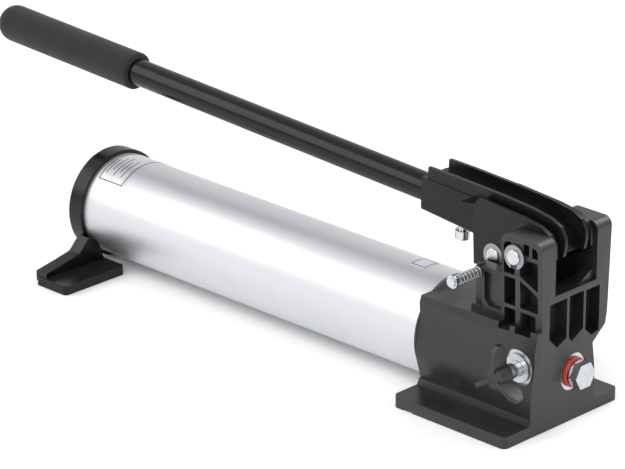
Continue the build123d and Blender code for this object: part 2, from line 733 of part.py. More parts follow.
with BuildPart() as handle_grip:
    with BuildSketch(lever_section(handle_end - grip_length)):
        Circle(grip_radius)
    extrude(amount=grip_length)
    fillet(handle_grip.edges().filter_by(GeomType.CIRCLE).sort_by(Axis.X)[0], grip_radius - 1.0)
    fillet(handle_grip.edges().filter_by(GeomType.CIRCLE).sort_by(Axis.X)[-1], 1.0)
    with BuildSketch(lever_section(handle_end - grip_length)):
        Circle(handle_radius)
    extrude(amount=grip_length - grip_cover, mode=Mode.SUBTRACT)
save(handle_grip, "handle_grip")

socket_low_at_screw = socket_low_front + (socket_low_rear - socket_low_front) \
    * (screw_u - socket_start) / (socket_end - socket_start)
screw_head = 6.0
screw_standoff = 6.5
screw_head_v = socket_low_at_screw - screw_standoff - screw_head
with BuildPart() as handle_screw:
    with BuildSketch(Plane(origin=lever_point(screw_u, screw_head_v), x_dir=(0, 1, 0),
                           z_dir=(sin(slope), 0, cos(slope)))):
        Circle(5.0)
    extrude(amount=screw_head)
    with BuildSketch(Plane(origin=lever_point(screw_u, screw_head_v + screw_head), x_dir=(0, 1, 0),
                           z_dir=(sin(slope), 0, cos(slope)))):
        Circle(screw_radius)
    extrude(amount=handle_height - handle_radius + handle_wall - screw_head_v - screw_head)
    with BuildSketch(Plane(origin=lever_point(screw_u, screw_head_v), x_dir=(0, 1, 0),
                           z_dir=(sin(slope), 0, cos(slope)))):
        RegularPolygon(2.5, 6, major_radius=False)
    extrude(amount=screw_head / 2, mode=Mode.SUBTRACT)
save(handle_screw, "handle_screw")

clip_thickness = 1.0
clip_radius = 8.0
clip_inner = 4.0


def clipped_pin(name, x, z, seat_half, reach):
    """Pin across the lever's plane with a groove at each end for a retaining clip."""
    with BuildPart() as pin:
        with BuildSketch(side_plane(lever_y)):
            with Locations((x, z)):
                Circle(pin_radius)
        extrude(amount=seat_half + reach, both=True)
        chamfer(pin.edges().filter_by(GeomType.CIRCLE), 0.6)
        for side in (-1, 1):
            with BuildSketch(side_plane(lever_y + side * seat_half)):
                with Locations((x, z)):
                    Circle(pin_radius + 1)
                    Circle(clip_inner, mode=Mode.SUBTRACT)
            extrude(amount=-side * clip_thickness, mode=Mode.SUBTRACT)
    save(pin, name)


def clips(name, x, z, seat_half):
    """Two retaining clips, one at each end of a pin."""
    with BuildPart() as pair:
        for side in (-1, 1):
            with BuildSketch(side_plane(lever_y + side * seat_half)):
                with Locations((x, z)):
                    Circle(clip_radius)
                    Circle(clip_inner, mode=Mode.SUBTRACT)
                with Locations((x, z - clip_radius)):
                    Rectangle(1.2 * clip_inner, 2 * clip_radius, mode=Mode.SUBTRACT)
            extrude(amount=-side * clip_thickness)
    save(pair, name)


clipped_pin("pivot_pin", pivot_x, pivot_height, boss_half, clip_thickness + 1.6)
clips("pivot_clips", pivot_x, pivot_height, boss_half)
clipped_pin("piston_pin", piston_x, piston_z, cheek_half, clip_thickness + 1.2)
clips("piston_clips", piston_x, piston_z, cheek_half)

# ---------------------------------------------------------------- plunger, seals and gland
shoulder_z = 46.5
plunger_tip = high_bore_bottom + 1.0
eye_radius = 9.2
eye_half = 7.5
eye_run = lever_arm - pin_gap + 0.8
eye_height = pin_radius + 0.45
low_seal_height = 3.0
low_seal_radius = piston_radius + running - 0.01
gland_top = 80.0
wiper_bottom = gland_top - 3.5
neck_top = piston_z - eye_radius

with BuildPart() as plunger:
    for bottom, top, radius in ((plunger_tip, shoulder_z, plunger_radius),
                                (shoulder_z, neck_top, piston_radius)):
        with BuildSketch(Plane.XY.offset(bottom)):
            with Locations((plunger_x, lever_y)):
                Circle(radius)
        extrude(amount=top - bottom)
    with BuildSketch(side_plane(lever_y)):
        with Locations((plunger_x, piston_z)):
            Circle(eye_radius + 0.6)
        with Locations((plunger_x, piston_z - eye_radius)):
            Rectangle(2 * eye_radius - 1.4, 2 * eye_radius - 4)
    extrude(amount=eye_half, both=True)
    with BuildSketch(side_plane(lever_y)):
        with Locations((plunger_x, piston_z)):
            SlotOverall(2 * eye_height + eye_run, 2 * eye_height)
    extrude(amount=20, both=True, mode=Mode.SUBTRACT)
    with BuildSketch(Plane.XY.offset(shoulder_z + 1.0)):
        with Locations((plunger_x, lever_y)):
            Circle(piston_radius + 1)
            Circle(piston_radius - 2.0, mode=Mode.SUBTRACT)
    extrude(amount=low_seal_height, mode=Mode.SUBTRACT)
    chamfer(plunger.edges().filter_by(GeomType.CIRCLE).sort_by(Axis.Z)[0], 0.6)
save(plunger, "plunger")


def plunger_ring(name, bottom, height, outer, inner):
    """Ring around the plunger's axis."""
    with BuildPart() as body:
        with BuildSketch(Plane.XY.offset(bottom)):
            with Locations((plunger_x, lever_y)):
                Circle(outer)
                Circle(inner, mode=Mode.SUBTRACT)
        extrude(amount=height)
    save(body, name)


plunger_ring("low_pressure_seal", shoulder_z + 1.0, low_seal_height, low_seal_radius, piston_radius - 2.0)
plunger_ring("high_pressure_seal", high_seal_bottom, high_seal_height, plunger_radius + 2.0,
             plunger_radius + 0.01)

with BuildPart() as gland_nut:
    with BuildSketch(Plane.XY.offset(gland_bottom)):
        with Locations((plunger_x, lever_y)):
            Circle(gland_thread_radius)
    extrude(amount=gland_boss_top - gland_bottom)
    with BuildSketch(Plane.XY.offset(gland_boss_top)):
        with Locations((plunger_x, lever_y)):
            Circle(gland_boss_radius)
    extrude(amount=gland_top - gland_boss_top)
    chamfer(gland_nut.edges().filter_by(GeomType.CIRCLE).sort_by(Axis.Z)[-1], 0.8)
    with BuildSketch(Plane.XY.offset(gland_bottom)):
        with Locations((plunger_x, lever_y)):
            Circle(piston_radius + running)
    extrude(amount=30, mode=Mode.SUBTRACT)
    with BuildSketch(Plane.XY.offset(wiper_bottom)):
        with Locations((plunger_x, lever_y)):
            Circle(piston_radius + 2.4)
    extrude(amount=30, mode=Mode.SUBTRACT)
    # wrench slots
    for angle in (0, 90):
        with BuildSketch(Plane.XY.offset(gland_top - 3)):
            with Locations(Location((plunger_x, lever_y, 0), (0, 0, 1), angle + 45)):
                Rectangle(4, 40)
        extrude(amount=4, mode=Mode.SUBTRACT)
save(gland_nut, "gland_nut")

plunger_ring("wiper_ring", wiper_bottom, gland_top - wiper_bottom + 0.8, piston_radius + 2.4,
             piston_radius + running)

# ---------------------------------------------------------------- release valve
knob_inner_y = -41.5
knob_outer_y = -50.0
gland_face_y = -28.2
stem_tip_y = valve_seat_y - 2 * ball_radius - gap
with BuildPart() as release_stem:
    with BuildSketch(side_plane(knob_outer_y + 3.0)):
        with Locations((valve_x, valve_height)):
            Circle(valve_stem_radius)
    extrude(amount=knob_outer_y + 3.0 - stem_tip_y)
    with BuildSketch(side_plane(-18.0)):
        with Locations((valve_x, valve_height)):
            Circle(valve_stem_radius + 1)
            Circle(valve_stem_radius - 1.4, mode=Mode.SUBTRACT)
    extrude(amount=-2.2, mode=Mode.SUBTRACT)
save(release_stem, "release_stem")

with BuildPart() as release_o_ring:
    with BuildSketch(side_plane(-18.0 + 0.05)):
        with Locations((valve_x, valve_height)):
            Circle(valve_stem_radius + running - 0.01)
            Circle(valve_stem_radius - 1.4, mode=Mode.SUBTRACT)
    extrude(amount=-2.1)
save(release_o_ring, "release_o_ring")

with BuildPart() as release_gland:
    with BuildSketch(side_plane(valve_gland_inner)):
        with Locations((valve_x, valve_height)):
            Circle(valve_gland_radius)
            Circle(valve_stem_radius + running, mode=Mode.SUBTRACT)
    extrude(amount=valve_gland_inner - valve_face_y)
    with BuildSketch(side_plane(valve_face_y)):
        with Locations((valve_x, valve_height)):
            Circle(9.5)
            Circle(valve_stem_radius + running, mode=Mode.SUBTRACT)
    extrude(amount=valve_face_y - gland_face_y)
save(release_gland, "release_gland")

with BuildPart() as release_ball:
    with Locations((valve_x, valve_seat_y - ball_radius, valve_height)):
        Sphere(ball_radius)
save(release_ball, "release_ball")

wing_angles = (90, 212, -32)
wing_thickness = 3.2
wing_inner_y = -39.4
with BuildPart() as release_knob:
    with BuildSketch(side_plane(wing_inner_y)):
        with Locations((valve_x, valve_height)):
            Circle(7.2)
    extrude(amount=wing_inner_y - knob_outer_y, taper=2)
    for angle in wing_angles:
        outward = (cos(radians(angle)), 0, sin(radians(angle)))
        across = Plane(origin=(valve_x, 0, valve_height), x_dir=outward,
                       z_dir=(-sin(radians(angle)), 0, cos(radians(angle))))
        along_y = -1 if across.y_dir.Y < 0 else 1
        with BuildPart(mode=Mode.PRIVATE) as wing:
            with BuildSketch(across):
                outline_face(*[(u, along_y * y) for u, y in (
                    (3.0, wing_inner_y), (15.0, wing_inner_y), (knob_radius, wing_inner_y - 3.5),
                    (knob_radius, knob_outer_y + 2.0), (16.0, knob_outer_y - 1.0), (3.0, knob_outer_y - 1.0))])
            extrude(amount=wing_thickness / 2, both=True)
            fillet(wing.edges().filter_by(lambda e: abs(e.length - wing_thickness) < 0.01), 1.8)
        add(wing.part)
    with BuildSketch(side_plane(knob_outer_y + 3.0)):
        with Locations((valve_x, valve_height)):
            Circle(valve_stem_radius)
    extrude(amount=-30, mode=Mode.SUBTRACT)
save(release_knob, "release_knob")

# ---------------------------------------------------------------- outlet plug
seal_thickness = 2.8
seal_radius = 9.9
flange_thickness = 2.0
hex_height = 6.0
spot_x = from_front(spot_depth)
with BuildPart() as outlet_seal:
    with BuildSketch(Plane.YZ.offset(spot_x)):
        with Locations((lever_y, port_height)):
            Circle(seal_radius)
            Circle(port_thread_radius, mode=Mode.SUBTRACT)
    extrude(amount=seal_thickness)
    fillet(outlet_seal.edges().filter_by(GeomType.CIRCLE).filter_by(
        lambda e: abs(e.radius - seal_radius) < 0.01), 0.8)
save(outlet_seal, "outlet_seal")

with BuildPart() as outlet_plug:
    with BuildSketch(Plane.YZ.offset(spot_x - port_depth + 1)):
        with Locations((lever_y, port_height)):
            Circle(port_thread_radius)
    extrude(amount=port_depth - 1 + seal_thickness)
    with BuildSketch(Plane.YZ.offset(spot_x + seal_thickness)):
        with Locations((lever_y, port_height)):
            Circle(9.0)
    extrude(amount=flange_thickness)
    with BuildSketch(Plane.YZ.offset(spot_x + seal_thickness + flange_thickness)):
        with Locations((lever_y, port_height)):
            RegularPolygon(plug_across_flats / 2, 6, major_radius=False)
    extrude(amount=hex_height)
    with BuildSketch(Plane.YZ.offset(spot_x - port_depth + 1)):
        with Locations((lever_y, port_height)):
            Circle(3.5)
    extrude(amount=10, mode=Mode.SUBTRACT)
save(outlet_plug, "outlet_plug")

# ---------------------------------------------------------------- lock pin
lock_x = from_front(lock_back)
lock_head_y = -44.7
lock_wire = 0.9
with BuildPart() as lock_pin:
    with BuildSketch(side_plane(lock_pin_inner)):
        with Locations((lock_x, lock_height)):
            Circle(lock_radius)
    extrude(amount=lock_pin_inner - lock_head_y)
    with BuildSketch(side_plane(lock_head_y + 1.6)):
        with Locations((lock_x, lock_height)):
            Circle(4.3)
    extrude(amount=1.6)
    with BuildSketch(side_plane(lock_head_y)):
        with Locations((lock_x, lock_height)):
            Circle(3.2)
    extrude(amount=1.4)
    with BuildSketch(side_plane(lock_pin_inner - 0.2)):
        with Locations((lock_x, lock_height)):
            Circle(lock_radius + 1)
            Circle(lock_radius - 0.6, mode=Mode.SUBTRACT)
    extrude(amount=lock_clip_thickness, mode=Mode.SUBTRACT)
save(lock_pin, "lock_pin")

with BuildPart() as lock_pin_clip:
    with BuildSketch(side_plane(lock_pin_inner - 0.2)):
        with Locations((lock_x, lock_height)):
            Circle(lock_clip_radius)
            Circle(lock_radius - 0.6, mode=Mode.SUBTRACT)
        with Locations((lock_x, lock_height - lock_clip_radius)):
            Rectangle(1.6, 2 * lock_clip_radius, mode=Mode.SUBTRACT)
    extrude(amount=lock_clip_thickness)
save(lock_pin_clip, "lock_pin_clip")

spring_top_y = lock_head_y + 1.6 + lock_travel + gap
spring_length = lock_boss_y - spring_top_y
with BuildPart() as lock_spring:
    add(coil((lock_x, lock_boss_y, lock_height), (0, -1, 0), lock_radius + 0.6, lock_wire, spring_length, 8))
save(lock_spring, "lock_spring")

# ---------------------------------------------------------------- check valves and relief valve
check_ball_z = check_top - ball_radius
check_plug = 4.0
check_spring = check_ball_z - ball_radius - check_bottom - check_plug
for name, x in (("inlet", inlet_x), ("outlet", outlet_x), ("relief", relief_x)):
    with BuildPart() as ball:
        with Locations((x, lever_y, check_ball_z)):
            Sphere(ball_radius)
    save(ball, f"{name}_ball")
    with BuildPart() as spring:
        add(coil((x, lever_y, check_bottom + check_plug), (0, 0, 1), 2.9, 0.7, check_spring, 4))
    save(spring, f"{name}_spring")
    with BuildPart() as screw:
        with BuildSketch(Plane.XY.offset(check_bottom)):
            with Locations((x, lever_y)):
                Circle(check_radius)
                RegularPolygon(2.0, 6, major_radius=False, mode=Mode.SUBTRACT)
        extrude(amount=check_plug)
    save(screw, f"{name}_screw")
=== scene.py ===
"""Looks of a two-stage hydraulic hand pump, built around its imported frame.

Lengths are in metres, or in millimetres where a name ends in _mm, and in the frame's own directions:
+X towards the pump head, +Z up.
"""

import json
import logging
from dataclasses import dataclass, field
from enum import Enum
from math import cos, pi, radians, sin
from typing import Any, Callable, Optional, Sequence

import bmesh
import bpy
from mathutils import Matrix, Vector

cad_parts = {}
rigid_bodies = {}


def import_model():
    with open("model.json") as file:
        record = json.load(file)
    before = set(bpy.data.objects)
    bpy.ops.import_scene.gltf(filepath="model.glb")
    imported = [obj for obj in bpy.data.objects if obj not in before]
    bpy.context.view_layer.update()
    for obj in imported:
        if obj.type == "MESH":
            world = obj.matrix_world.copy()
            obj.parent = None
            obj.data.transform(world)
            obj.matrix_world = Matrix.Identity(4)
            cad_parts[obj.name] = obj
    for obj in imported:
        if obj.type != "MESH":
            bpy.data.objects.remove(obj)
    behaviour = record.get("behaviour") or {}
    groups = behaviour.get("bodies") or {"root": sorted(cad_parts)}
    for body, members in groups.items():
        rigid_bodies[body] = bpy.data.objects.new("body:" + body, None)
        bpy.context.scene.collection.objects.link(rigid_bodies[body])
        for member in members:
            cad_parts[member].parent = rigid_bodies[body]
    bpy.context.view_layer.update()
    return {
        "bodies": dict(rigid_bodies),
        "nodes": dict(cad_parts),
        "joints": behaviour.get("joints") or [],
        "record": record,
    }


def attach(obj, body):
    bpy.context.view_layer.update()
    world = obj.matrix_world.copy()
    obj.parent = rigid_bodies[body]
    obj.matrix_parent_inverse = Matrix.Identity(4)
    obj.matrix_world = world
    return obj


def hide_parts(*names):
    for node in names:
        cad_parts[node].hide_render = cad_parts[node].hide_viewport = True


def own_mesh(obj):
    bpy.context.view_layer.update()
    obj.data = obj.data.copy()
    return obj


LOG = logging.getLogger("pump")
MM = 0.001


# ---------------------------------------------------------------- materials
def linear(code: str, alpha: float = 1.0) -> tuple[float, float, float, float]:
    """Turns an sRGB hex code into linear light.

    Args:
        code: six hex digits.
        alpha: the fourth channel.

    Returns:
        The colour in linear light.
    """
    channels = [int(code[i:i + 2], 16) / 255 for i in (0, 2, 4)]
    return tuple(c / 12.92 if c <= 0.04045 else ((c + 0.055) / 1.055) ** 2.4 for c in channels) + (alpha,)


def add_node(tree: bpy.types.NodeTree, kind: str, settings: Optional[dict[str, Any]] = None,
             inputs: Optional[dict[Any, Any]] = None) -> bpy.types.Node:
    """Adds a node with its settings, and links or sets its inputs.

    Args:
        tree: the material's node tree.
        kind: the node's type.
        settings: attribute names and values.
        inputs: socket names or numbers, each with a value or another node's output socket.

    Returns:
        The new node.
    """
    node = tree.nodes.new(kind)
    for name, value in (settings or {}).items():
        setattr(node, name, value)
    for name, value in (inputs or {}).items():
        if isinstance(value, bpy.types.NodeSocket):
            tree.links.new(value, node.inputs[name])
        else:
            node.inputs[name].default_value = value
    return node


BUMP_STRENGTH = 0.6
WORN_FROM, WORN_TO = 0.52, 0.62   # edge sharpness at which rubbing starts and is full
WORN_SHARE = 0.5                  # the most that a rubbed edge takes of its worn colour
PATCH_LOW, PATCH_HIGH = 0.3, 0.7  # noise values between which roughness varies
DRAWN_STRETCH = 0.01              # drawn lines run along X, a hundred times as long as wide
WAVE_RADIANS = 20                 # radians that the wave texture turns through in one unit


class Grain(Enum):
    """How a surface was made, which sets the pattern of its fine relief."""

    SPECKLE = "speckle"
    DRAWN = "drawn"
    TURNED = "turned"
    CELLS = "cells"


@dataclass(frozen=True)
class Finish:
    """One real material and how its surface was made.

    Attributes:
        name: the material's name.
        colour: its main colour, sRGB hex.
        shade: a second colour that it varies towards, sRGB hex.
        roughness: lowest and highest roughness.
        metallic: 1 on bare metal.
        grain: the pattern of the relief.
        grain_mm: size of one grain, or of one radian of turned marks.
        relief_mm: height of the relief.
        patch_mm: size of the patches in which colour and roughness vary.
        centre: a point on the axis that turned marks run around, in metres.
        ior: index of refraction of what isn't metal.
        sheen: weight of a dusty sheen.
        wear: colour of rubbed edges, sRGB hex.
        specular: strength of the reflection of what isn't metal, 0.5 as it comes.
    """

    name: str
    colour: str
    shade: str
    roughness: tuple[float, float]
    metallic: float = 0.0
    grain: Grain = Grain.SPECKLE
    grain_mm: float = 0.5
    relief_mm: float = 0.02
    patch_mm: float = 30.0
    centre: tuple[float, float, float] = (0.0, 0.0, 0.0)
    ior: float = 1.5
    sheen: float = 0.0
    wear: Optional[str] = None
    specular: float = 0.5

    def relief(self, tree: bpy.types.NodeTree, place: bpy.types.NodeSocket) -> bpy.types.NodeSocket:
        """Makes the pattern of the fine relief.

        Args:
            tree: the material's node tree.
            place: object coordinates.

        Returns:
            A socket that runs from 0 to 1.
        """
        scale = 1 / (self.grain_mm * MM)
        if self.grain is Grain.CELLS:
            cells = add_node(tree, "ShaderNodeTexVoronoi", {"feature": "F1"},
                             {"Vector": place, "Scale": scale, "Randomness": 1.0})
            return cells.outputs["Distance"]
        if self.grain is Grain.DRAWN:
            stretch = add_node(tree, "ShaderNodeMapping", None,
                               {"Vector": place, "Scale": (DRAWN_STRETCH, 1.0, 1.0)})
            lines = add_node(tree, "ShaderNodeTexNoise", None,
                             {"Vector": stretch.outputs[0], "Scale": scale, "Detail": 3.0})
            return lines.outputs["Fac"]
        if self.grain is Grain.TURNED:
            shift = add_node(tree, "ShaderNodeMapping", None,
                             {"Vector": place, "Location": tuple(-c for c in self.centre)})
            rings = add_node(tree, "ShaderNodeTexWave",
                             {"wave_type": "RINGS", "rings_direction": "X"},
                             {"Vector": shift.outputs[0], "Scale": scale / WAVE_RADIANS, "Distortion": 0.4,
                              "Detail": 2.0, "Detail Scale": 2.0})
            return rings.outputs["Fac"]
        speckle = add_node(tree, "ShaderNodeTexNoise", None, {"Vector": place, "Scale": scale, "Detail": 4.0})
        return speckle.outputs["Fac"]

    def build(self) -> bpy.types.Material:
        """Builds the material, or returns the one that was built before."""
        made = bpy.data.materials.get(self.name)
        if made:
            return made
        made = bpy.data.materials.new(self.name)
        made.use_nodes = True
        tree = made.node_tree
        shader = tree.nodes["Principled BSDF"]
        place = add_node(tree, "ShaderNodeTexCoord").outputs["Object"]
        patches = add_node(tree, "ShaderNodeTexNoise", None,
                           {"Vector": place, "Scale": 1 / (self.patch_mm * MM), "Detail": 3.0})
        relief = self.relief(tree, place)
        tint = add_node(tree, "ShaderNodeMix", {"data_type": "RGBA"},
                        {0: patches.outputs["Fac"], 6: linear(self.colour), 7: linear(self.shade)})
        colour = tint.outputs[2]
        if self.wear:
            edges = add_node(tree, "ShaderNodeNewGeometry").outputs["Pointiness"]
            rub = add_node(tree, "ShaderNodeMapRange", None,
                           {"Value": edges, 1: WORN_FROM, 2: WORN_TO, 3: 0.0, 4: WORN_SHARE})
            worn = add_node(tree, "ShaderNodeMix", {"data_type": "RGBA"},
                            {0: rub.outputs[0], 6: colour, 7: linear(self.wear)})
            colour = worn.outputs[2]
        tree.links.new(colour, shader.inputs["Base Color"])
        rough = add_node(tree, "ShaderNodeMapRange", None,
                         {"Value": patches.outputs["Fac"], 1: PATCH_LOW, 2: PATCH_HIGH,
                          3: self.roughness[0], 4: self.roughness[1]})
        tree.links.new(rough.outputs[0], shader.inputs["Roughness"])
        bump = add_node(tree, "ShaderNodeBump", None,
                        {"Height": relief, "Distance": self.relief_mm * MM, "Strength": BUMP_STRENGTH})
        tree.links.new(bump.outputs[0], shader.inputs["Normal"])
        shader.inputs["Metallic"].default_value = self.metallic
        if not self.metallic:
            shader.inputs["IOR"].default_value = self.ior
            shader.inputs["Specular IOR Level"].default_value = self.specular
        shader.inputs["Sheen Weight"].default_value = self.sheen
        return made


PORT_CENTRE = (0.046, 0.010, 0.0325)

# Glass-filled nylon 66, injection moulded: a fine spark-eroded texture, half matt, greyer in patches.
MOULDED_NYLON = Finish("moulded_nylon", "121213", "1b1b1d", (0.30, 0.44), grain_mm=0.5, relief_mm=0.03,
                       patch_mm=18, ior=1.53, wear="303032")
# The same nylon in a polished mould, on the lever beam and the rear cap: blacker and glossier.
POLISHED_NYLON = Finish("polished_nylon", "0a0a0b", "101011", (0.22, 0.34), grain_mm=0.5, relief_mm=0.015,
                        patch_mm=24, ior=1.53, wear="2a2a2c", specular=0.22)
# The same nylon on the knob, with a coarser and duller texture for grip.
KNOB_NYLON = Finish("knob_nylon", "121213", "1a1a1b", (0.36, 0.5), grain_mm=0.6, relief_mm=0.04, patch_mm=12,
                    ior=1.53, wear="2c2c2d")
# Drawn aluminium tube, brushed lightly and clear anodised: fine lines along its length, soft highlights.
# Real lines are under 0.05 mm wide; they are drawn coarser so that they show.
ANODISED_TUBE = Finish("anodised_aluminium", "d9dadd", "cdcfd2", (0.42, 0.50), metallic=1.0,
                       grain=Grain.DRAWN, grain_mm=0.35, relief_mm=0.006, patch_mm=60)
# Cast aluminium, face-milled around the port: rings 2.2 mm apart, coarser than real feed marks so that
# they show.
PORT_FACE = Finish("spot_faced_aluminium", "d8d8d8", "c2c2c1", (0.22, 0.36), metallic=1.0, grain=Grain.TURNED,
                   grain_mm=0.35, relief_mm=0.02, patch_mm=9, centre=PORT_CENTRE)
# Zinc-plated steel: bright, a little cloudy where the plating varies.
ZINC_STEEL = Finish("zinc_plated_steel", "d3d5d8", "babdc2", (0.2, 0.34), metallic=1.0, grain_mm=0.8,
                    relief_mm=0.008, patch_mm=5)
# Ground and hard-chromed steel: mirror-like.
CHROMED_STEEL = Finish("hard_chromed_steel", "dfe0e2", "d2d3d6", (0.06, 0.12), metallic=1.0, grain_mm=0.5,
                       relief_mm=0.002, patch_mm=10)
# Phosphated spring steel of the retaining clips: dark and dull metal.
CLIP_STEEL = Finish("phosphated_spring_steel", "a3a4a6", "86878a", (0.3, 0.45), metallic=1.0, grain_mm=0.4,
                    relief_mm=0.01, patch_mm=4)
# Drawn music wire, plated.
SPRING_WIRE = Finish("plated_music_wire", "c4c4c6", "a0a1a3", (0.25, 0.38), metallic=1.0, grain_mm=0.4,
                     relief_mm=0.006, patch_mm=3)
# Baked black enamel over steel tube: glossy, with a faint orange peel.
BLACK_ENAMEL = Finish("baked_enamel", "060607", "0a0a0b", (0.16, 0.24), grain_mm=2.4, relief_mm=0.02,
                      patch_mm=40, ior=1.5, specular=0.25)
# Closed-cell nitrile foam sleeve: dull, with cells about 0.9 mm across that break the light.
FOAM_GRIP = Finish("closed_cell_foam", "1d1d1e", "29292a", (0.8, 0.95), grain=Grain.CELLS, grain_mm=0.9,
                   relief_mm=0.22, patch_mm=14, ior=1.45, sheen=0.12, specular=0.25)
# Cast polyurethane sealing ring, red.
RED_SEAL = Finish("red_polyurethane", "b5381f", "9c2a16", (0.35, 0.45), grain_mm=0.5, relief_mm=0.01,
                  patch_mm=6, ior=1.5)
# Nitrile rubber, moulded: black and matt.
BLACK_RUBBER = Finish("nitrile_rubber", "141414", "1b1b1b", (0.55, 0.7), grain_mm=0.4, relief_mm=0.02,
                      patch_mm=8, ior=1.52)
# Polyurethane of the rod seals: blue-grey.
WIPER_PU = Finish("seal_polyurethane", "39445a", "2f394d", (0.4, 0.5), grain_mm=0.4, relief_mm=0.01,
                  patch_mm=8)
# Oil-filled sintered bronze: grainy and dull.
BRONZE = Finish("sintered_bronze", "b08a4e", "94713c", (0.4, 0.55), metallic=1.0, grain_mm=0.3,
                relief_mm=0.03, patch_mm=4)
# Natural acetal: off-white, waxy.
ACETAL = Finish("natural_acetal", "dcdbd3", "d2d1c8", (0.35, 0.48), grain_mm=0.6, relief_mm=0.01,
                patch_mm=12, ior=1.48)
# Silver polyester label film: satin, slightly mottled.
LABEL_FILM = Finish("label_film", "d3d5d7", "c9cbce", (0.32, 0.42), metallic=0.75, grain_mm=0.25,
                    relief_mm=0.003, patch_mm=8)
# Screen-printed ink on the labels: dark grey, satin.
LABEL_INK = Finish("label_ink", "1e1f21", "2a2b2d", (0.45, 0.55), grain_mm=0.3, relief_mm=0.003, patch_mm=8)
# Woven nylon filter cloth around the strainer, its threads drawn 0.6 mm apart.
FILTER_CLOTH = Finish("filter_cloth", "d8d8d2", "c6c6bf", (0.6, 0.7), grain=Grain.CELLS, grain_mm=0.6,
                      relief_mm=0.08, patch_mm=6)
# Painted studio floor, pale and matt.
STUDIO_FLOOR = Finish("studio_floor", "f7f7f7", "f5f5f5", (0.75, 0.85), grain_mm=40, relief_mm=0.0,
                      patch_mm=900)


# ---------------------------------------------------------------- modelling helpers
def deselect() -> None:
    """Leaves edit mode and deselects everything."""
    if bpy.context.object and bpy.context.object.mode != "OBJECT":
        bpy.ops.object.mode_set(mode="OBJECT")
    bpy.ops.object.select_all(action="DESELECT")


def activate(piece: bpy.types.Object) -> None:
    """Makes one piece the only selected and the active one."""
    deselect()
    bpy.context.view_layer.objects.active = piece
    piece.select_set(True)


def apply_modifier(piece: bpy.types.Object, kind: str, **settings: Any) -> None:
    """Adds a modifier with its settings and applies it.

    Args:
        piece: the piece that gets it.
        kind: the modifier's type.
        settings: its attribute names and values.
    """
    activate(piece)
    modifier = piece.modifiers.new(kind.lower(), kind)
    for name, value in settings.items():
        setattr(modifier, name, value)
    bpy.ops.object.modifier_apply(modifier=modifier.name)


def settle(piece: bpy.types.Object, name: str, body: str, finish: Finish,
           replaces: Sequence[str] = (), smooth: float = 35.0) -> bpy.types.Object:
    """Finishes a piece: its place goes into its mesh, and it gets a name, a body and a material.

    Args:
        piece: the modelled piece.
        name: what it is called.
        body: the body that it moves with.
        finish: its material.
        replaces: CAD nodes that it stands for.
        smooth: edges flatter than this many degrees are shaded smooth.

    Returns:
        The piece.
    """
    activate(piece)
    if piece.type != "MESH":
        bpy.ops.object.convert(target="MESH")
        piece = bpy.context.object
    bpy.ops.object.transform_apply(location=True, rotation=True, scale=True)
    bpy.ops.object.shade_smooth_by_angle(angle=radians(smooth))
    piece.name = name
    piece.data.name = name
    piece.data.materials.clear()
    piece.data.materials.append(finish.build())
    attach(piece, body)
    if replaces:
        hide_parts(*replaces)
    LOG.info("%s rides on %s", name, body)
    return piece


WELD = 0.00001      # corners of a CAD mesh this close are one, metres
FLAT_DEGREES = 1.0  # facets that meet flatter than this are one face


def soften(frame: dict[str, Any], node: str, name: str, body: str, finish: Finish, width_mm: float,
           segments: int = 2, angle: float = 30.0) -> bpy.types.Object:
    """Makes a copy of a CAD node with rounded edges, which stands for it.

    Args:
        node: the CAD node.
        name: the piece's name.
        body: the body that it moves with.
        finish: its material.
        width_mm: how far each edge is cut back.
        segments: steps in each rounding.
        angle: edges flatter than this many degrees stay.

    Returns:
        The piece.
    """
    piece = bpy.data.objects.new(name, frame["nodes"][node].data.copy())
    bpy.context.scene.collection.objects.link(piece)
    activate(piece)
    bpy.ops.object.mode_set(mode="EDIT")
    bpy.ops.mesh.select_all(action="SELECT")
    bpy.ops.mesh.remove_doubles(threshold=WELD)
    bpy.ops.mesh.dissolve_limited(angle_limit=radians(FLAT_DEGREES))
    bpy.ops.object.mode_set(mode="OBJECT")
    if "custom_normal" in piece.data.attributes:
        piece.data.attributes.remove(piece.data.attributes["custom_normal"])
    apply_modifier(piece, "BEVEL", width=width_mm * MM, segments=segments, limit_method="ANGLE",
                   angle_limit=radians(angle), use_clamp_overlap=True, harden_normals=False)
    piece = settle(piece, name, body, finish, [node], smooth=40.0)
    apply_modifier(piece, "WEIGHTED_NORMAL", keep_sharp=True)
    return piece


def dress(frame: dict[str, Any], node: str, finish: Finish) -> None:
    """Gives a CAD node that stays its material.

    Args:
        node: the CAD node.
        finish: its material.
    """
    data = frame["nodes"][node].data
    data.materials.clear()
    data.materials.append(finish.build())


def edit_faces(piece: bpy.types.Object, chosen: Callable[[bmesh.types.BMFace], bool]) -> None:
    """Enters edit mode with just the chosen faces selected.

    Args:
        piece: the piece to edit.
        chosen: says of a face whether it is selected.
    """
    activate(piece)
    bpy.ops.object.mode_set(mode="EDIT")
    bpy.ops.mesh.select_mode(type="FACE")
    bpy.ops.mesh.select_all(action="DESELECT")
    mesh = bmesh.from_edit_mesh(piece.data)
    for face in mesh.faces:
        face.select_set(chosen(face))
    bmesh.update_edit_mesh(piece.data)


# ---------------------------------------------------------------- lever geometry
SLOPE = radians(2.54)
PIVOT = Vector((0.0257, 0.010, 0.1133))
ALONG = Vector((-cos(SLOPE), 0.0, sin(SLOPE)))
ABOVE = Vector((sin(SLOPE), 0.0, cos(SLOPE)))


def lever_place(u_mm: float, v_mm: float, y_mm: float = 0.0) -> Vector:
    """Point behind the pivot and above it along the lever's own directions."""
    return PIVOT + ALONG * (u_mm * MM) + ABOVE * (v_mm * MM) + Vector((0, y_mm * MM, 0))


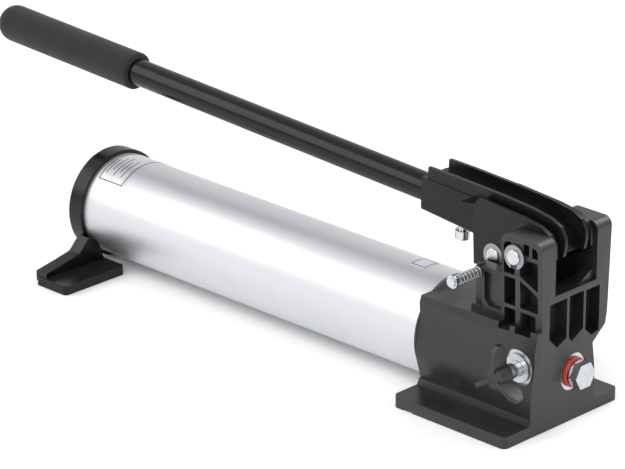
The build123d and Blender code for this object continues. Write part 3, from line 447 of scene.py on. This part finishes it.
@dataclass
class Grip:
    """Foam sleeve on the end of the handle."""

    start_mm: float = 372.5
    length_mm: float = 135.5
    radius_mm: float = 13.0
    axis_mm: float = 4.0
    dome_mm: float = 12.0
    mouth_mm: float = 1.6
    rings: int = 24
    plain_inner_mm: float = 4.0
    plain_outer_mm: float = 10.0
    wave_mm: float = 0.25
    hollow_mm: float = 9.0

    def build(self, frame: dict[str, Any]) -> None:
        """Models the sleeve with a rolled mouth and a domed end, a little uneven like foam.
        """
        middle = lever_place(self.start_mm + self.length_mm / 2, self.axis_mm)
        deselect()
        bpy.ops.mesh.primitive_cylinder_add(vertices=64, radius=self.radius_mm * MM,
                                            depth=self.length_mm * MM, location=middle,
                                            rotation=(0, -pi / 2 + SLOPE, 0), end_fill_type="NGON")
        sleeve = bpy.context.object
        bpy.ops.object.transform_apply(location=True, rotation=True, scale=True)
        outer = lever_place(self.start_mm + self.length_mm, self.axis_mm)
        inner = lever_place(self.start_mm, self.axis_mm)
        self.round_end(sleeve, outer, self.dome_mm, 12)
        self.round_end(sleeve, inner, self.mouth_mm, 4)
        self.add_rings(sleeve)
        self.unevenness(sleeve)
        settle(sleeve, "foam_grip", "lever", FOAM_GRIP, ["handle_grip"], smooth=60)

    def round_end(self, sleeve: bpy.types.Object, place: Vector, width_mm: float, segments: int) -> None:
        """Rounds the rim of the end that lies at a place.

        Args:
            sleeve: the sleeve.
            place: the middle of the end.
            width_mm: how far the rim is cut back.
            segments: steps in the rounding.
        """
        edit_faces(sleeve, lambda f: len(f.verts) > 8 and (f.calc_center_median() - place).length < 0.002)
        bpy.ops.mesh.bevel(offset=width_mm * MM, segments=segments, affect="EDGES", profile=0.5)
        bpy.ops.object.mode_set(mode="OBJECT")

    def add_rings(self, sleeve: bpy.types.Object) -> None:
        """Cuts the long sides into short rings, so that the sleeve can vary along its length.

        Args:
            sleeve: the sleeve.
        """
        span = self.length_mm - self.plain_inner_mm - self.plain_outer_mm
        activate(sleeve)
        bpy.ops.object.mode_set(mode="EDIT")
        for step in range(1, self.rings):
            u = self.start_mm + self.plain_inner_mm + span * step / self.rings
            bpy.ops.mesh.select_all(action="SELECT")
            bpy.ops.mesh.bisect(plane_co=lever_place(u, self.axis_mm), plane_no=ALONG)
        bpy.ops.object.mode_set(mode="OBJECT")

    def unevenness(self, sleeve: bpy.types.Object) -> None:
        """Draws points in by up to wave_mm in slow waves, as ground foam is.

        Args:
            sleeve: the sleeve.
        """
        for vertex in sleeve.data.vertices:
            offset = vertex.co - lever_place(0, self.axis_mm)
            u = offset.dot(ALONG)
            radial = offset - ALONG * u
            if radial.length > self.hollow_mm * MM:
                wave = 0.5 + 0.5 * sin(u * 95 + 2 * sin(u * 41)) * cos(3 * radial.y / radial.length)
                vertex.co -= radial.normalized() * (self.wave_mm * MM * wave)


@dataclass
class LockSpring:
    """Coil spring under the lock pin's head."""

    seat_y: float = -0.0204
    top_y: float = -0.0429
    x: float = -0.0068
    z: float = 0.0935
    radius_mm: float = 3.1
    wire_mm: float = 0.9
    turns: int = 9
    steps: int = 20
    travel_mm: float = 2.5

    def build(self, frame: dict[str, Any]) -> None:
        """Models the coil at its resting length.
        """
        count = self.turns * self.steps + 1
        wire = self.wire_mm * MM
        length = self.seat_y - self.top_y - wire
        curve = bpy.data.curves.new("lock_coil", "CURVE")
        curve.dimensions = "3D"
        curve.bevel_depth = wire / 2
        curve.bevel_resolution = 3
        curve.use_fill_caps = True
        spline = curve.splines.new("POLY")
        spline.points.add(count - 1)
        for i in range(count):
            turn = i / self.steps
            share = min(max((turn - 1) / (self.turns - 2), 0), 1)
            y = self.seat_y - wire / 2 - length * share
            angle = 2 * pi * turn
            spline.points[i].co = (self.x + self.radius_mm * MM * cos(angle), y,
                                   self.z + self.radius_mm * MM * sin(angle), 1)
        coil = bpy.data.objects.new("lock_coil", curve)
        bpy.context.scene.collection.objects.link(coil)
        coil = settle(coil, "lock_pin_coil", "frame", SPRING_WIRE, ["lock_spring"], smooth=60)
        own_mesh(coil)


@dataclass
class Labels:
    """Plates on the reservoir, with printed borders and plain bars, and no lettering."""

    radius_mm: float = 35.3
    axis_z_mm: float = 38.9
    proud_mm: float = 0.04
    rear_border: tuple[float, ...] = (-350.8, -327.7, -43.5, 43.5, 0.8)
    head_border: tuple[float, ...] = (-78.6, -66.9, -15.0, 7.0, 0.5)
    bars: int = 5
    bar_start_mm: float = -348.0
    bar_step_mm: float = 3.6
    bar_mm: float = 0.6
    bar_from: tuple[float, ...] = (8.0, 3.0, -2.0)  # the bars' sides, degrees, taken in turn
    bar_to: tuple[float, ...] = (34.0, 28.0)

    def patch(self, x0: float, x1: float, a0: float, a1: float) -> bpy.types.Object:
        """Makes a thin patch that lies on the plate.

        Args:
            x0: its rear end, millimetres.
            x1: its front end.
            a0: its first side, degrees from the top towards the release valve.
            a1: its other side.

        Returns:
            The patch, closed and thin.
        """
        deselect()
        bpy.ops.mesh.primitive_grid_add(x_subdivisions=2, y_subdivisions=24, size=1)
        patch = bpy.context.object
        for vertex in patch.data.vertices:
            x = x0 + (vertex.co.x + 0.5) * (x1 - x0)
            a = radians(a0 + (vertex.co.y + 0.5) * (a1 - a0))
            r = self.radius_mm + self.proud_mm
            vertex.co = Vector((x, -r * sin(a), self.axis_z_mm + r * cos(a))) * MM
        apply_modifier(patch, "SOLIDIFY", thickness=self.proud_mm * MM, offset=-1.0)
        return patch

    def frame_of(self, x0: float, x1: float, a0: float, a1: float, line: float) -> list[bpy.types.Object]:
        """Makes the four bars of a rectangular border.

        Args:
            x0: its rear end, millimetres.
            x1: its front end.
            a0: its first side, degrees from the top towards the release valve.
            a1: its other side.
            line: how wide its bars are, millimetres.

        Returns:
            The bars.
        """
        turn = line / self.radius_mm * 180 / pi
        return [self.patch(x0, x0 + line, a0, a1), self.patch(x1 - line, x1, a0, a1),
                self.patch(x0, x1, a0, a0 + turn), self.patch(x0, x1, a1 - turn, a1)]

    def build(self, frame: dict[str, Any]) -> None:
        """Prints a border on each plate, and a few plain bars on the rear one.
        """
        dress(frame, "spec_plate", LABEL_FILM)
        dress(frame, "head_plate", LABEL_FILM)
        bars = self.frame_of(*self.rear_border)
        for row in range(self.bars):
            rear = self.bar_start_mm + self.bar_step_mm * row
            bars.append(self.patch(rear, rear + self.bar_mm, self.bar_from[row % len(self.bar_from)],
                                   self.bar_to[row % len(self.bar_to)]))
        bars += self.frame_of(*self.head_border)
        activate(bars[0])
        for bar in bars:
            bar.select_set(True)
        bpy.ops.object.join()
        settle(bpy.context.object, "label_print", "frame", LABEL_INK)


@dataclass
class PumpHead:
    """Moulded cladding of the head, with the metal that shows through it."""

    edge_mm: float = 0.8

    def build(self, frame: dict[str, Any]) -> None:
        """Rounds the moulding's edges and dresses the metal.
        """
        soften(frame, "pump_head", "head_moulding", "frame", MOULDED_NYLON, self.edge_mm)
        dress(frame, "pump_core", PORT_FACE)


@dataclass
class Lever:
    """Beam with its pins, and the handle in it."""

    edge_mm: float = 0.9

    def build(self, frame: dict[str, Any]) -> None:
        """Rounds the beam's edges and dresses the handle.
        """
        soften(frame, "beam", "lever_beam", "lever", POLISHED_NYLON, self.edge_mm)
        dress(frame, "handle_tube", BLACK_ENAMEL)


@dataclass
class Fittings:
    """Small metal, plastic and rubber pieces."""

    plain: dict[str, Finish] = field(default_factory=lambda: {
        "tank_seals": BLACK_RUBBER, "tie_rod": ZINC_STEEL, "tie_rod_washer": BLACK_RUBBER,
        "suction_tube": ACETAL, "suction_strainer": FILTER_CLOTH, "gland_nut": ZINC_STEEL,
        "wiper_ring": WIPER_PU, "high_pressure_seal": WIPER_PU, "low_pressure_seal": WIPER_PU,
        "release_ball": CHROMED_STEEL, "release_o_ring": BLACK_RUBBER, "inlet_ball": CHROMED_STEEL,
        "inlet_spring": SPRING_WIRE, "inlet_screw": ZINC_STEEL, "outlet_ball": CHROMED_STEEL,
        "outlet_spring": SPRING_WIRE, "outlet_screw": ZINC_STEEL, "relief_ball": CHROMED_STEEL,
        "relief_spring": SPRING_WIRE, "relief_screw": ZINC_STEEL, "pivot_bushes": BRONZE,
        "plunger": CHROMED_STEEL, "release_stem": ZINC_STEEL, "fill_plug_seal": BLACK_RUBBER,
    })

    def build(self, frame: dict[str, Any]) -> None:
        """Rounds the edges of what shows and dresses the rest.
        """
        for node, finish in self.plain.items():
            dress(frame, node, finish)
        rounded = [
            ("outlet_plug", "frame", ZINC_STEEL, "zinc", 0.5),
            ("outlet_seal", "frame", RED_SEAL, "red_seal", 0.3),
            ("release_gland", "frame", ZINC_STEEL, "zinc", 0.3),
            ("tie_rod_nut", "frame", ZINC_STEEL, "zinc", 0.4),
            ("pivot_pin", "frame", ZINC_STEEL, "zinc", 0.3),
            ("pivot_clips", "frame", CLIP_STEEL, "clip", 0.2),
            ("piston_pin", "lever", ZINC_STEEL, "zinc", 0.3),
            ("piston_clips", "lever", CLIP_STEEL, "clip", 0.2),
            ("handle_screw", "lever", ZINC_STEEL, "zinc", 0.3),
            ("lock_pin", "lock", ZINC_STEEL, "zinc", 0.3),
            ("lock_pin_clip", "lock", CLIP_STEEL, "clip", 0.1),
            ("fill_plug", "filler", ACETAL, "pale_plastic", 0.4),
            ("release_knob", "release", KNOB_NYLON, "knob", 1.2),
            ("rear_cap", "frame", POLISHED_NYLON, "nylon", 0.8),
            ("reservoir_tube", "frame", ANODISED_TUBE, "tube", 0.3),
        ]
        for node, body, finish, slot, width in rounded:
            soften(frame, node, f"{node}_finished", body, finish, width)


# ---------------------------------------------------------------- studio
@dataclass
class Studio:
    """Pale floor, soft lights and the camera."""

    target: Vector = field(default_factory=lambda: Vector((-0.1705, 0.0, 0.0665)))
    azimuth: float = 44.32
    elevation: float = 21.83
    distance: float = 2.4732
    lens: float = 217.56
    sensor: float = 36.0
    floor_size: float = 30.0
    floor_drop: float = 0.0002
    ambient: float = 0.85
    lamps: tuple[tuple[str, tuple[float, float, float], float, float], ...] = (
        ("key", (0.6, -1.4, 1.7), 1.6, 24),
        ("fill", (-1.6, -1.2, 1.2), 1.4, 14),
        ("rim", (0.3, 1.5, 1.3), 1.2, 16),
    )

    def light(self, name: str, place: tuple[float, float, float], size: float, power: float) -> None:
        """Adds a square soft light that faces the pump.

        Args:
            name: what it is called.
            place: where it stands.
            size: length of its side.
            power: watts.
        """
        lamp = bpy.data.lights.new(name, "AREA")
        lamp.size = size
        lamp.energy = power
        holder = bpy.data.objects.new(name, lamp)
        holder.location = place
        holder.rotation_euler = (self.target - Vector(place)).to_track_quat("-Z", "Y").to_euler()
        bpy.context.scene.collection.objects.link(holder)

    def build(self) -> None:
        """Builds the floor, the lights and the camera."""
        deselect()
        bpy.ops.mesh.primitive_plane_add(size=self.floor_size, location=(0, 0, -self.floor_drop))
        floor = bpy.context.object
        floor.name = "studio_floor"
        floor.data.materials.append(STUDIO_FLOOR.build())
        world = bpy.data.worlds.new("studio")
        world.use_nodes = True
        world.node_tree.nodes["Background"].inputs[0].default_value = (1, 1, 1, 1)
        world.node_tree.nodes["Background"].inputs[1].default_value = self.ambient
        bpy.context.scene.world = world
        for lamp in self.lamps:
            self.light(*lamp)
        bpy.context.scene.view_settings.view_transform = "Standard"
        camera = bpy.data.cameras.new("camera")
        camera.lens = self.lens
        camera.sensor_width = self.sensor
        camera.clip_end = 60.0
        holder = bpy.data.objects.new("camera", camera)
        turn, lift = radians(self.azimuth), radians(self.elevation)
        back = Vector((sin(turn) * cos(lift), -cos(turn) * cos(lift), sin(lift)))
        holder.location = self.target + back * self.distance
        holder.rotation_euler = back.to_track_quat("Z", "Y").to_euler()
        bpy.context.scene.collection.objects.link(holder)
        bpy.context.scene.camera = holder


def main() -> None:
    """Loads the frame and builds every piece around it."""
    logging.basicConfig(level=logging.INFO, format="%(name)s: %(message)s")
    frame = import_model()
    for part in (PumpHead(), Lever(), Fittings(), Grip(), LockSpring(), Labels()):
        part.build(frame)
    Studio().build()
    deselect()


if __name__ == "__main__":
    main()
